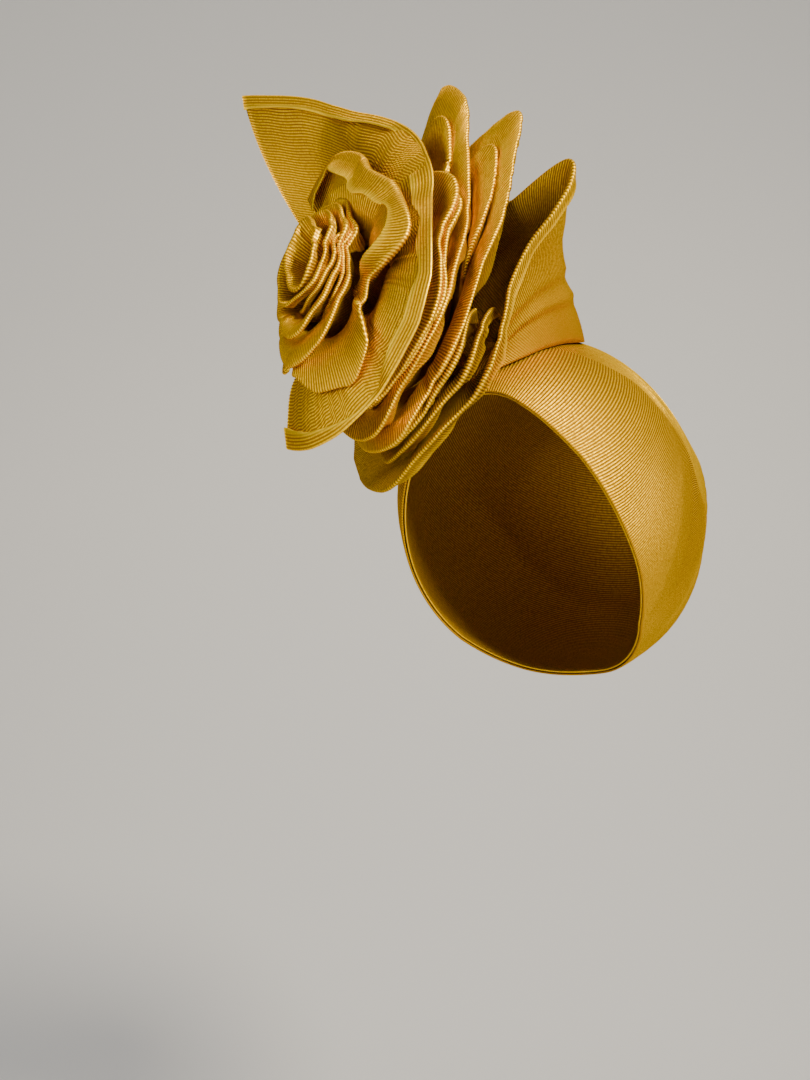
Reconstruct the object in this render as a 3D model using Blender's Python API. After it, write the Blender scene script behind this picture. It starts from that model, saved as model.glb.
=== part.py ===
"""Gele head tie: a ribbed cloth wrapped round the head and tied in a rose of standing petals.

Metres, +Z up, -Y is the wearer's front and +X the wearer's left. The origin is the middle of
the head that the hollow fits. Every sheet of cloth is one closed solid with a real wall.
"""

import bpy
import numpy as np
from math import cos, pi, radians, sin

# The hollow for the head, as half sizes from the origin
HEAD_SIDE = 0.083
HEAD_FRONT = 0.092
HEAD_BACK = 0.143
HEAD_TOP = 0.092
HEAD_LOW = 0.108

# The cloth
CLOTH_WALL = 0.0014
LAYER_GAP = 0.0004
CROWN_FULLNESS = 0.007
FULLNESS_START = 0.030
FULLNESS_RUN = 0.060

# The rose of petals
ROSE_RADIUS = 0.100
ROSE_DEPTH = 0.125
ROSE_BASE_X = -0.022
ROSE_BASE_Y = -0.055
ROSE_BASE_Z = 0.062
ROSE_TURN = radians(20)
ROSE_LIFT = radians(5)
ROSE_RISE = 0.30
HEART_RADIUS = 0.009
LAYER_ROOM = 1.35
ROOT_ROOM = 1.02
STEEPEST = 4.0
PETAL_OVERRUN = 1.12
ROOT_BEND = 3
DISH_PEAK = 6.4
HEART_FLARE = 10
HEART_SPREAD = 0.7
SEAM_FLARE = 4
SEAM_BEND = 1.2
FULLNESS_SHAPE = 0.7
WIDEST_TILT = 0.98 * pi
SMALLEST_TILT = 0.15
HALVINGS = 40
WALL_ROWS = 40

# Grid of the solids
ROUND_STEPS = 40
BAND_ROWS = 5
CROWN_ROWS = 6
SWATHE_STEPS = 40
SWATHE_ROWS = 6
HEART_STEPS = 22
HEART_ROWS = 8
PETAL_STEPS = 21
PETAL_ROWS = 6
MOST_TURN = radians(20)

# Face opening: degrees from the front, height as a share of HEAD_TOP above 0, of HEAD_LOW below
RIM = (
    (0, 0.52), (25, 0.26), (36, 0.07), (46, -0.15), (56, -0.29), (73, -0.60),
    (100, -0.81), (120, -0.88), (150, -0.91), (180, -0.91),
)

# Upper edge of the band: degrees from the front, degrees of elevation
BAND_EDGE = (
    (0, 66), (40, 66), (71, 62), (85, 52), (96, 41), (104, 26), (119, 10), (140, -12), (160, -24),
    (180, -28),
)

# Outer wrap: angle round the rose, lip radius, lip reach, distance of its seam on the cap.
# Radii and distances are per cent of ROSE_RADIUS, reaches per cent of ROSE_DEPTH.
SWATHE = (
    (-180, 70, 18, 50), (-125, 84, 30, 38), (-95, 96, 42, 34), (-76, 78, 38, 34),
    (-48, 62, 31, 34), (-17, 61, 28, 38), (11, 66, 27, 48), (26, 84, 25, 60),
    (40, 127, 20, 76), (52, 92, 22, 80), (80, 78, 20, 76), (120, 70, 18, 66), (180, 70, 18, 50),
)

# Petals from the outermost in: name, reach of the root on the heart, dish in degrees, sweep of the far end in
# degrees, colour, and a lip row for each turn of the edge: angle, radius, reach.
PETALS = (
    ("peak_right", 17, 6, 0, (0.85, 0.56, 0.05), (
        (-120, 66, 46), (-82, 82, 52), (-50, 60, 48), (-17, 56, 45), (16, 66, 41), (33, 84, 39),
        (45, 111, 38), (54, 134, 36), (64, 112, 38), (80, 88, 36), (120, 76, 28), (180, 70, 26))),
    ("peak_middle", 22, 6, 0, (0.90, 0.62, 0.08), (
        (-110, 70, 64), (-82, 84, 63), (-60, 66, 61), (-30, 60, 59), (-3, 58, 56), (35, 72, 50),
        (58, 103, 48), (68, 130, 48), (77, 139, 48), (85, 122, 44), (100, 96, 34), (150, 78, 26))),
    ("fold_far", 26, 6, 0, (0.80, 0.52, 0.05), (
        (125, 84, 36), (145, 76, 38), (170, 70, 42), (200, 66, 50), (230, 68, 58), (246, 74, 62))),
    ("fold_wide", 30, 6, 0, (0.93, 0.66, 0.10), (
        (-80, 70, 66), (-55, 64, 64), (-15, 60, 62), (20, 64, 60), (34, 76, 58), (46, 70, 58))),
    ("fold_slim", 34, 6, 0, (0.95, 0.70, 0.14), (
        (-70, 76, 70), (-45, 70, 68), (-15, 66, 66), (20, 62, 63), (42, 80, 61), (58, 74, 60))),
    ("fan_petal", 38, 6, 30, (0.72, 0.52, 0.05), (
        (-104, 108, 81), (-92, 111, 80), (-80, 107, 78), (-55, 92, 76), (-30, 80, 76),
        (0, 73, 75), (26, 70, 71), (40, 76, 69), (66, 90, 68), (88, 109, 69), (104, 134, 72),
        (114, 152, 74), (121, 168, 75))),
    ("far_petal", 43, 6, 0, (0.78, 0.54, 0.06), (
        (120, 74, 68), (150, 64, 72), (180, 56, 76), (210, 56, 79), (240, 70, 82))),
    ("hood_petal", 47, 6, 0, (0.88, 0.62, 0.08), (
        (-100, 96, 90), (-84, 84, 86), (-60, 74, 84), (-30, 66, 82), (0, 60, 80), (30, 54, 80),
        (55, 58, 80), (75, 72, 78), (95, 78, 78), (120, 62, 80))),
    ("pleat_outer", 53, 3, 0, (0.95, 0.70, 0.12), (
        (-180, 32, 88), (-150, 38, 90), (-120, 54, 92), (-92, 80, 92), (-76, 72, 91),
        (-52, 46, 90), (-20, 30, 88), (15, 25, 87), (50, 32, 85), (80, 47, 84), (105, 46, 84),
        (140, 34, 86), (180, 32, 88))),
    ("pleat_middle", 60, 2, 0, (0.90, 0.64, 0.10), (
        (-180, 26, 94), (-150, 31, 95), (-115, 48, 96), (-90, 66, 96), (-70, 52, 95),
        (-40, 31, 94), (0, 21, 92), (40, 24, 90), (75, 37, 88), (105, 36, 88), (140, 28, 91),
        (180, 26, 94))),
    ("pleat_inner", 68, 1, 0, (0.95, 0.72, 0.15), (
        (-180, 20, 98), (-140, 26, 99), (-100, 44, 99), (-75, 38, 99), (-40, 22, 98),
        (0, 16, 97), (40, 18, 95), (80, 28, 93), (110, 26, 93), (150, 20, 96), (180, 20, 98))),
)

# Heart: lip of the roll of cloth that the petals are wound on, angle, radius, reach
HEART = (
    (-180, 14, 100), (-130, 17, 100), (-95, 25, 100), (-60, 17, 100), (0, 10, 100),
    (60, 12, 99), (95, 18, 98), (140, 13, 99), (180, 14, 100),
)

ROSE_BASE = np.array((ROSE_BASE_X, ROSE_BASE_Y, ROSE_BASE_Z))
ROSE_OUT = np.array((-sin(ROSE_TURN) * cos(ROSE_LIFT), -cos(ROSE_TURN) * cos(ROSE_LIFT), sin(ROSE_LIFT)))
ROSE_SIDE = np.array((cos(ROSE_TURN), -sin(ROSE_TURN), 0.0))
ROSE_UP = np.cross(ROSE_OUT, ROSE_SIDE)

GRID_ANGLES = np.radians(np.arange(-180, 271, 3.0))
GRID_DISTANCES = ROSE_RADIUS * np.arange(0.06, 2.31, 0.01)


def clear_scene():
    for thing in list(bpy.data.objects):
        bpy.data.objects.remove(thing, do_unlink=True)


def eased(x, xs, ys):
    """Smooth curve through a table's rows that never swings past them."""
    xs = np.asarray(xs, float)
    ys = np.asarray(ys, float)
    x = np.clip(x, xs[0], xs[-1])
    i = np.clip(np.searchsorted(xs, x) - 1, 0, len(xs) - 2)
    step = xs[i + 1] - xs[i]
    chord = np.diff(ys) / np.diff(xs)
    slope = np.zeros_like(ys)
    both = chord[:-1] + chord[1:]
    turns = chord[:-1] * chord[1:] <= 0
    slope[1:-1] = np.where(turns, 0, 2 * chord[:-1] * chord[1:] / np.where(both == 0, 1, both))
    slope[0] = chord[0]
    slope[-1] = chord[-1]
    t = (x - xs[i]) / step
    start = (1 + 2 * t) * (1 - t) ** 2 * ys[i] + t * (1 - t) ** 2 * step * slope[i]
    end = t * t * (3 - 2 * t) * ys[i + 1] + t * t * (t - 1) * step * slope[i + 1]
    return start + end


def column(table, index):
    return [row[index] for row in table]


def rose_point(angle, distance, tilt):
    """Point at a distance from the rose's base, tilted away from its axis, at an angle round it."""
    radius = distance * np.sin(tilt)
    reach = distance * np.cos(tilt)
    side = radius * np.cos(angle)
    up = radius * np.sin(angle) + ROSE_RISE * reach
    return ROSE_BASE + side[..., None] * ROSE_SIDE + up[..., None] * ROSE_UP + reach[..., None] * ROSE_OUT


def head_level(point, off):
    """Below 1 inside the head's form grown by off, above 1 outside it."""
    depth = np.where(point[..., 1] < 0, HEAD_FRONT, HEAD_BACK) + off
    height = np.where(point[..., 2] > 0, HEAD_TOP, HEAD_LOW) + off
    across = point[..., 0] / (HEAD_SIDE + off)
    return across ** 2 + (point[..., 1] / depth) ** 2 + (point[..., 2] / height) ** 2


def head_point(around, elevation, off):
    depth = np.where(np.cos(around) > 0, HEAD_FRONT, HEAD_BACK) + off
    height = np.where(elevation > 0, HEAD_TOP, HEAD_LOW) + off
    x = (HEAD_SIDE + off) * np.cos(elevation) * np.sin(around)
    y = -depth * np.cos(elevation) * np.cos(around)
    z = height * np.sin(elevation)
    return np.stack([x, y, z], -1)


def rim_elevation(around):
    turn = np.degrees(np.abs(around))
    return np.arcsin(eased(turn, column(RIM, 0), column(RIM, 1)))


def band_elevation(around):
    turn = np.degrees(np.abs(around))
    return np.radians(eased(turn, column(BAND_EDGE, 0), column(BAND_EDGE, 1)))


def seat_offset():
    """Height of the middle of the wrap's wall over the head: cap, band and half a wall."""
    return 2.5 * CLOTH_WALL + 2 * LAYER_GAP


def cap_tilt(angle, distance):
    """Largest tilt that stays clear of the band, found by halving."""
    high = np.full(np.broadcast(angle, distance).shape, WIDEST_TILT)
    low = np.zeros_like(high)
    for _ in range(HALVINGS):
        middle = (low + high) / 2
        inside = head_level(rose_point(angle, distance, middle), seat_offset()) < 1
        high = np.where(inside, middle, high)
        low = np.where(inside, low, middle)
    return low


def polar(radius, reach):
    return np.hypot(radius, reach), np.arctan2(radius, reach)


def lip_at(rows, angle):
    """Distance and tilt of a lip from its rows of radius and reach."""
    turn = np.degrees(angle)
    radius = eased(turn, column(rows, 0), column(rows, 1)) / 100 * ROSE_RADIUS
    reach = eased(turn, column(rows, 0), column(rows, 2)) / 100 * ROSE_DEPTH
    return polar(radius, reach)


def swathe_wall(angle, up):
    """Distance and tilt of the outer wrap at a share of its height over its seam."""
    turned = (angle + pi) % (2 * pi) - pi
    lip_distance, lip_tilt = lip_at(SWATHE, turned)
    seam = eased(np.degrees(turned), column(SWATHE, 0), column(SWATHE, 3)) / 100 * ROSE_RADIUS
    seam_tilt = cap_tilt(turned, seam)
    distance = seam + (lip_distance - seam) * up ** SEAM_FLARE
    tilt = lip_tilt + (seam_tilt - lip_tilt) * (1 - up) ** SEAM_BEND
    return distance, np.minimum(tilt, cap_tilt(turned, distance))


def root_at(petal, angle):
    """Distance and tilt of a petal's root, one gap off the heart's roll."""
    reach = petal[1] / 100 * ROSE_DEPTH
    return polar(heart_radius(angle, reach) + ROOT_ROOM * (CLOTH_WALL + LAYER_GAP), reach)


def least_tilt(angle, distance):
    """Tilt that still clears the heart's roll."""
    radius = heart_radius(angle, distance) + ROOT_ROOM * (CLOTH_WALL + LAYER_GAP)
    return np.arcsin(np.clip(radius / distance, 0, 1))


def free_tilt(petal, angle, distance):
    """Tilt that a petal takes where no other layer holds it."""
    root_distance, root_tilt = root_at(petal, angle)
    lip_distance, lip_tilt = lip_at(petal[5], angle)
    share = np.clip((distance - root_distance) / (lip_distance - root_distance), 0, PETAL_OVERRUN)
    left = np.clip(1 - share, 0, 1) ** ROOT_BEND
    dish = radians(petal[2]) * DISH_PEAK * share ** 2 * (1 - share)
    return root_tilt * left + lip_tilt * (1 - left) - dish


def step_in(tilt):
    """The next layer's limit: one wall and one gap nearer the axis, more on a slope."""
    along = np.gradient(tilt, GRID_DISTANCES, axis=1) * GRID_DISTANCES
    across = np.gradient(tilt, GRID_ANGLES, axis=0) / np.sin(np.maximum(tilt, SMALLEST_TILT))
    slope = np.clip(np.sqrt(1 + along ** 2 + across ** 2), 1, STEEPEST)
    return tilt - LAYER_ROOM * (CLOTH_WALL + LAYER_GAP) * slope / GRID_DISTANCES


def layer_tilts():
    """Tilt of every petal on the grid of angles and distances, each nested in the one before."""
    angles, distances = np.meshgrid(GRID_ANGLES, GRID_DISTANCES, indexing="ij")
    heights = np.linspace(0, 1, WALL_ROWS)
    wall = np.empty_like(angles)
    for i, angle in enumerate(GRID_ANGLES):
        distance, tilt = swathe_wall(np.full(WALL_ROWS, angle), heights)
        wall[i] = np.interp(GRID_DISTANCES, distance, tilt, left=pi)
    limit = np.minimum(cap_tilt(angles, distances), step_in(wall))
    nearest = least_tilt(angles, distances)
    tilts = {}
    for petal in PETALS:
        tilt = np.minimum(free_tilt(petal, angles, distances), limit)
        tilts[petal[0]] = np.maximum(tilt, nearest)
        limit = step_in(tilts[petal[0]])
    return tilts


def read_grid(grid, angle, distance):
    a = np.clip((angle - GRID_ANGLES[0]) / (GRID_ANGLES[1] - GRID_ANGLES[0]), 0, len(GRID_ANGLES) - 1.001)
    d = (distance - GRID_DISTANCES[0]) / (GRID_DISTANCES[1] - GRID_DISTANCES[0])
    d = np.clip(d, 0, len(GRID_DISTANCES) - 1.001)
    i, j = a.astype(int), d.astype(int)
    a, d = a - i, d - j
    near = grid[i, j] * (1 - d) + grid[i, j + 1] * d
    far = grid[i + 1, j] * (1 - d) + grid[i + 1, j + 1] * d
    return near * (1 - a) + far * a


def is_ring(rows):
    return rows[-1][0] - rows[0][0] == 360


def turn_angles(rows, steps):
    """Angles of the columns: every row of the table, and more where its edge runs far."""
    turns = np.radians(column(rows, 0))
    radii = np.array(column(rows, 1)) / 100
    runs = np.hypot(np.diff(turns) * (radii[1:] + radii[:-1]) / 2, np.diff(radii))
    counts = np.maximum(np.round(steps * runs / runs.sum()), np.ceil(np.diff(turns) / MOST_TURN - 0.01))
    counts = np.maximum(counts, 1).astype(int)
    spans = [np.linspace(turns[i], turns[i + 1], n, endpoint=False) for i, n in enumerate(counts)]
    return np.concatenate(spans + [turns[-1:]])


def petal_points(petal, tilts, steps, rows):
    """Middle surface of a petal, angle by angle and from root to lip."""
    turns = turn_angles(petal[5], steps)
    held, up = np.meshgrid(turns, np.linspace(0, 1, rows), indexing="ij")
    across = (held - turns[0]) / (turns[-1] - turns[0])
    angle = held + radians(petal[3]) * (1 - up) * across ** 3
    lip_distance, lip_tilt = lip_at(petal[5], held)
    root_distance = root_at(petal, held)[0]
    distance = root_distance + (lip_distance - root_distance) * up
    return rose_point(angle, distance, read_grid(tilts[petal[0]], angle, distance))


def heart_foot(angle):
    """Reach at which the heart's roll meets the band, found by halving."""
    high = np.full(angle.shape, 0.3 * ROSE_DEPTH)
    low = np.full(angle.shape, -0.1 * ROSE_DEPTH)
    for _ in range(HALVINGS):
        middle = (low + high) / 2
        point = rose_point(angle, *polar(HEART_RADIUS, middle))
        inside = head_level(point, seat_offset()) < 1
        low = np.where(inside, middle, low)
        high = np.where(inside, high, middle)
    return high


def heart_radius(angle, reach):
    """Radius of the heart's roll at a reach: a plain roll that opens near its lip."""
    turned = (angle + pi) % (2 * pi) - pi
    lip_distance, lip_tilt = lip_at(HEART, turned)
    up = np.clip(reach / (lip_distance * np.cos(lip_tilt)), 0, 1)
    return HEART_RADIUS + (lip_distance * np.sin(lip_tilt) - HEART_RADIUS) * up ** HEART_FLARE


def heart_points(steps, rows):
    """Roll of cloth from the band out to the heart's lip."""
    across, up = np.meshgrid(np.linspace(-pi, pi, steps), np.linspace(0, 1, rows), indexing="ij")
    lip_distance, lip_tilt = lip_at(HEART, across)
    foot = heart_foot(across)
    reach = foot + (lip_distance * np.cos(lip_tilt) - foot) * up ** HEART_SPREAD
    return rose_point(across, *polar(heart_radius(across, reach), reach))


def swathe_points(steps, rows):
    across, up = np.meshgrid(turn_angles(SWATHE, steps), np.linspace(0, 1, rows), indexing="ij")
    distance, tilt = swathe_wall(across, up)
    return rose_point(across, distance, tilt)


def sheet_normals(points, ring):
    """Unit normals of a grid of points; a ring's last column is its first again."""
    if ring:
        wrapped = np.concatenate([points[-2:-1], points, points[1:2]])
        across = (wrapped[2:] - wrapped[:-2])
    else:
        across = np.gradient(points, axis=0)
    along = np.gradient(points, axis=1)
    normal = np.cross(across, along)
    return normal / np.maximum(np.linalg.norm(normal, axis=-1, keepdims=True), 1e-9)


def solid_from_skins(name, outer, inner, ring, colour, pole=False):
    """Closed solid between two grids of points, joined round their free edges."""
    if ring:
        outer, inner = outer[:-1], inner[:-1]
    steps, rows = outer.shape[:2]
    size = steps * rows
    points = np.concatenate([outer.reshape(-1, 3), inner.reshape(-1, 3)])
    faces = []
    spans = steps if ring else steps - 1
    for i in range(spans):
        k = (i + 1) % steps
        for j in range(rows - 1):
            a, b, c, d = i * rows + j, k * rows + j, k * rows + j + 1, i * rows + j + 1
            faces += [(a, b, c), (a, c, d)]
            faces += [(size + a, size + c, size + b), (size + a, size + d, size + c)]
        low, low_next = i * rows, k * rows
        faces.append((low_next, low, size + low, size + low_next))
        if not pole:
            high, high_next = i * rows + rows - 1, k * rows + rows - 1
            faces.append((high, high_next, size + high_next, size + high))
    if not ring:
        for j in range(rows - 1):
            a, b = j, j + 1
            c, d = (steps - 1) * rows + j, (steps - 1) * rows + j + 1
            faces.append((a, b, size + b, size + a))
            faces.append((d, c, size + c, size + d))
    if pole:
        faces.append([i * rows + rows - 1 for i in range(steps)])
        faces.append([size + i * rows + rows - 1 for i in reversed(range(steps))])
    mesh = bpy.data.meshes.new(name)
    mesh.from_pydata([tuple(p) for p in points], [], faces)
    mesh.validate()
    mesh.shade_smooth()
    piece = bpy.data.objects.new(name, mesh)
    bpy.context.scene.collection.objects.link(piece)
    mesh.materials.append(cloth_material(name + "_cloth", colour))
    return piece


def sheet_solid(name, points, ring, colour):
    half = sheet_normals(points, ring) * CLOTH_WALL / 2
    return solid_from_skins(name, points + half, points - half, ring, colour)


def cloth_material(name, colour):
    material = bpy.data.materials.new(name)
    material.use_nodes = True
    shader = material.node_tree.nodes["Principled BSDF"]
    shader.inputs["Base Color"].default_value = (*colour, 1)
    shader.inputs["Roughness"].default_value = 0.45
    shader.inputs["Metallic"].default_value = 0.15
    return material


def band_rows(around, shares):
    rim = rim_elevation(around)
    return rim + (band_elevation(around) - rim) * shares


def crown_offset(around, elevation, share):
    """Soft fullness of the crown behind the band, none over the brow and the wrap's seam."""
    behind = -np.cos(around) * np.cos(elevation) * HEAD_BACK
    back = np.clip((behind - FULLNESS_START) / FULLNESS_RUN, 0, 1)
    return CROWN_FULLNESS * back * np.sin(pi * np.clip(share, 0, 1)) ** FULLNESS_SHAPE


def crown_cap():
    """Dome of cloth over the crown, from just inside the face opening to the top."""
    turns = np.linspace(-pi, pi, ROUND_STEPS + 1)
    low = np.linspace(0, 1, BAND_ROWS + 1)
    high = np.linspace(0, 1, CROWN_ROWS + 1)[1:-1]
    around, share = np.meshgrid(turns, np.concatenate([low, 1 + high]), indexing="ij")
    elevation = np.where(
        share <= 1,
        band_rows(around, np.minimum(share, 1)),
        band_elevation(around) + (pi / 2 - band_elevation(around)) * (share - 1),
    )
    full = crown_offset(around, elevation, share - 1)
    inner = head_point(around, elevation, full)
    outer = head_point(around, elevation, full + CLOTH_WALL)
    return solid_from_skins("crown_cap", outer, inner, True, (0.78, 0.50, 0.05), pole=True)


def head_band():
    """Wide smooth band over the cap, from the face opening up to its slanting edge."""
    turns = np.linspace(-pi, pi, ROUND_STEPS + 1)
    around, share = np.meshgrid(turns, np.linspace(0, 1, BAND_ROWS + 1), indexing="ij")
    elevation = band_rows(around, share)
    floor = CLOTH_WALL + LAYER_GAP
    inner = head_point(around, elevation, floor)
    outer = head_point(around, elevation, floor + CLOTH_WALL)
    return solid_from_skins("head_band", outer, inner, True, (0.92, 0.60, 0.06))


def wrap_swathe():
    """Outer wrap that stands on the band and cap and carries the rose's outermost lip."""
    return sheet_solid("wrap_swathe", swathe_points(SWATHE_STEPS, SWATHE_ROWS), True, (0.90, 0.58, 0.06))


def heart_roll():
    """Hollow roll of cloth at the middle of the rose, standing on the band."""
    sheet_solid("heart_roll", heart_points(HEART_STEPS + 1, HEART_ROWS), True, (0.80, 0.50, 0.05))


def rose_petals():
    tilts = layer_tilts()
    for petal in PETALS:
        points = petal_points(petal, tilts, PETAL_STEPS, PETAL_ROWS)
        sheet_solid(petal[0], points, is_ring(petal[5]), petal[4])


def main():
    clear_scene()
    crown_cap()
    head_band()
    wrap_swathe()
    heart_roll()
    rose_petals()


main()
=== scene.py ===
"""Looks of the gele head tie: ribbed gold cloth, wrapped and tied in a rose of petals.

Metres, +Z up, -Y out of the front and +X to the left as it is worn. Every sheet of cloth is a closed
mesh with a real wall, a rolled lip and real ribs, on the form that the solids of the frame have.
"""

from collections import namedtuple
from math import cos, pi, radians, sin

import bpy
import numpy as np
from mathutils import Matrix, Vector


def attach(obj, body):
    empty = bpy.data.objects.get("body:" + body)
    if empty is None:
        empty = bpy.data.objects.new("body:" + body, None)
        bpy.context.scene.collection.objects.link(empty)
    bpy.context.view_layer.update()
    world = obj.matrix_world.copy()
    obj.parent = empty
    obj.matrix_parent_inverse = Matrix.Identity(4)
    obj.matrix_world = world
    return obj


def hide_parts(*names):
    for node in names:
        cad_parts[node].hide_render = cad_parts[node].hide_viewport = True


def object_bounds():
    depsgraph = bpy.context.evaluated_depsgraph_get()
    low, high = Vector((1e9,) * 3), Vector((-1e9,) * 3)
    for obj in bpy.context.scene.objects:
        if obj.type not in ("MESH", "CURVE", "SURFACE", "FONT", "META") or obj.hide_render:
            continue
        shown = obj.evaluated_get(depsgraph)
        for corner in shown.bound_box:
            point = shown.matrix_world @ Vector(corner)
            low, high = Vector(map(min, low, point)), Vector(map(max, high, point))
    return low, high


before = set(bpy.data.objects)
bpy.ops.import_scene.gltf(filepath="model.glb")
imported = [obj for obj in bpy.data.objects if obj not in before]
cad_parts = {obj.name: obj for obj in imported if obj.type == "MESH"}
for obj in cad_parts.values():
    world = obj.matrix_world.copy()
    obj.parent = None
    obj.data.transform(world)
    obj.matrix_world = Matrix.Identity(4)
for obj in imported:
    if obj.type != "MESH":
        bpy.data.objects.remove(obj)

bl_info = {
    "name": "Gele head tie",
    "version": (1, 0, 0),
    "blender": (4, 5, 0),
    "location": "View3D > Sidebar > Gele",
    "description": "Builds the ribbed cloth of a tied gele head tie around its frame",
    "category": "Add Mesh",
}

CAD_LOW, CAD_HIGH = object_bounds()

Petal = namedtuple("Petal", "name root dish sweep lip")
Ply = namedtuple("Ply", "name outer inner share first last rise")
Finish = namedtuple("Finish", "radius turned side stand fold count lean curl seed")

# The hollow that the wrap closes round, as half sizes from the origin
HEAD_SIDE = 0.083
HEAD_FRONT = 0.092
HEAD_BACK = 0.143
HEAD_TOP = 0.092
HEAD_LOW = 0.108

# The layers of the solids
CLOTH_WALL = 0.0014
LAYER_GAP = 0.0004
CROWN_FULLNESS = 0.007
FULLNESS_START = 0.030
FULLNESS_RUN = 0.060
FULLNESS_SHAPE = 0.7

# The rose of petals
ROSE_RADIUS = 0.100
ROSE_DEPTH = 0.125
ROSE_BASE = np.array((-0.022, -0.055, 0.062))
ROSE_TURN = radians(20)
ROSE_LIFT = radians(5)
ROSE_RISE = 0.30
HEART_RADIUS = 0.009
LAYER_ROOM = 1.35
ROOT_ROOM = 1.02
STEEPEST = 4.0
PETAL_OVERRUN = 1.12
ROOT_BEND = 3
DISH_PEAK = 6.4
HEART_FLARE = 10
HEART_SPREAD = 0.7
SEAM_FLARE = 4
SEAM_BEND = 1.2
WIDEST_TILT = 0.98 * pi
SMALLEST_TILT = 0.15
HALVINGS = 40
WALL_ROWS = 40

# Front opening: degrees from the front, height as a share of HEAD_TOP above 0, of HEAD_LOW below
RIM = (
    (0, 0.52), (25, 0.26), (36, 0.07), (46, -0.15), (56, -0.29), (73, -0.60),
    (100, -0.81), (120, -0.88), (150, -0.91), (180, -0.91),
)
RIM_ROUNDING = tuple(range(-15, 16, 3))

# Upper edge of the band: degrees from the front, degrees of elevation
BAND_EDGE = (
    (0, 66), (40, 66), (71, 62), (85, 52), (96, 41), (104, 26), (119, 10), (140, -12), (160, -24),
    (180, -28),
)

# Slant of the band's ribs: degrees from the front, degrees that a rib leans back from rim to edge.
# Past the mitre's start, as a share of the height, the lean turns back.
BAND_SLANT = ((0, 0), (25, 34), (50, 52), (75, 44), (100, 34), (130, 16), (180, 0))
MITRE_START = 0.72
MITRE_TURN = 2.0

# Soft folds of the band: degrees round from the front, lean in degrees, height in metres.
# All have the same spread in degrees and are at full height from this share of the band's up.
BAND_FOLDS = ((104, 12, 0.0022), (124, 6, 0.0016), (-108, -10, 0.0020))
BAND_FOLD_SPREAD = 6
BAND_FOLD_FULL = 0.4

# Ripple of the band: height in metres, count round the wrap, lean in turns, seed
BAND_RIPPLE = 0.0005
RIPPLE_COUNT = 9
RIPPLE_LEAN = 0.05
RIPPLE_SEED = 81

# Spacing of the band's ribs round the wrap, as a share of the rib pitch
BAND_PITCH = 0.58

# Outer wrap: angle round the rose, lip radius, lip reach, distance of its seam on the cap.
# Radii and distances are per cent of ROSE_RADIUS, reaches per cent of ROSE_DEPTH.
SWATHE = (
    (-180, 70, 18, 50), (-125, 84, 30, 38), (-95, 96, 42, 34), (-76, 78, 38, 34),
    (-48, 62, 31, 34), (-17, 61, 28, 38), (11, 66, 27, 48), (26, 84, 25, 60),
    (40, 127, 20, 76), (52, 92, 22, 80), (80, 78, 20, 76), (120, 70, 18, 66), (180, 70, 18, 50),
)

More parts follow.
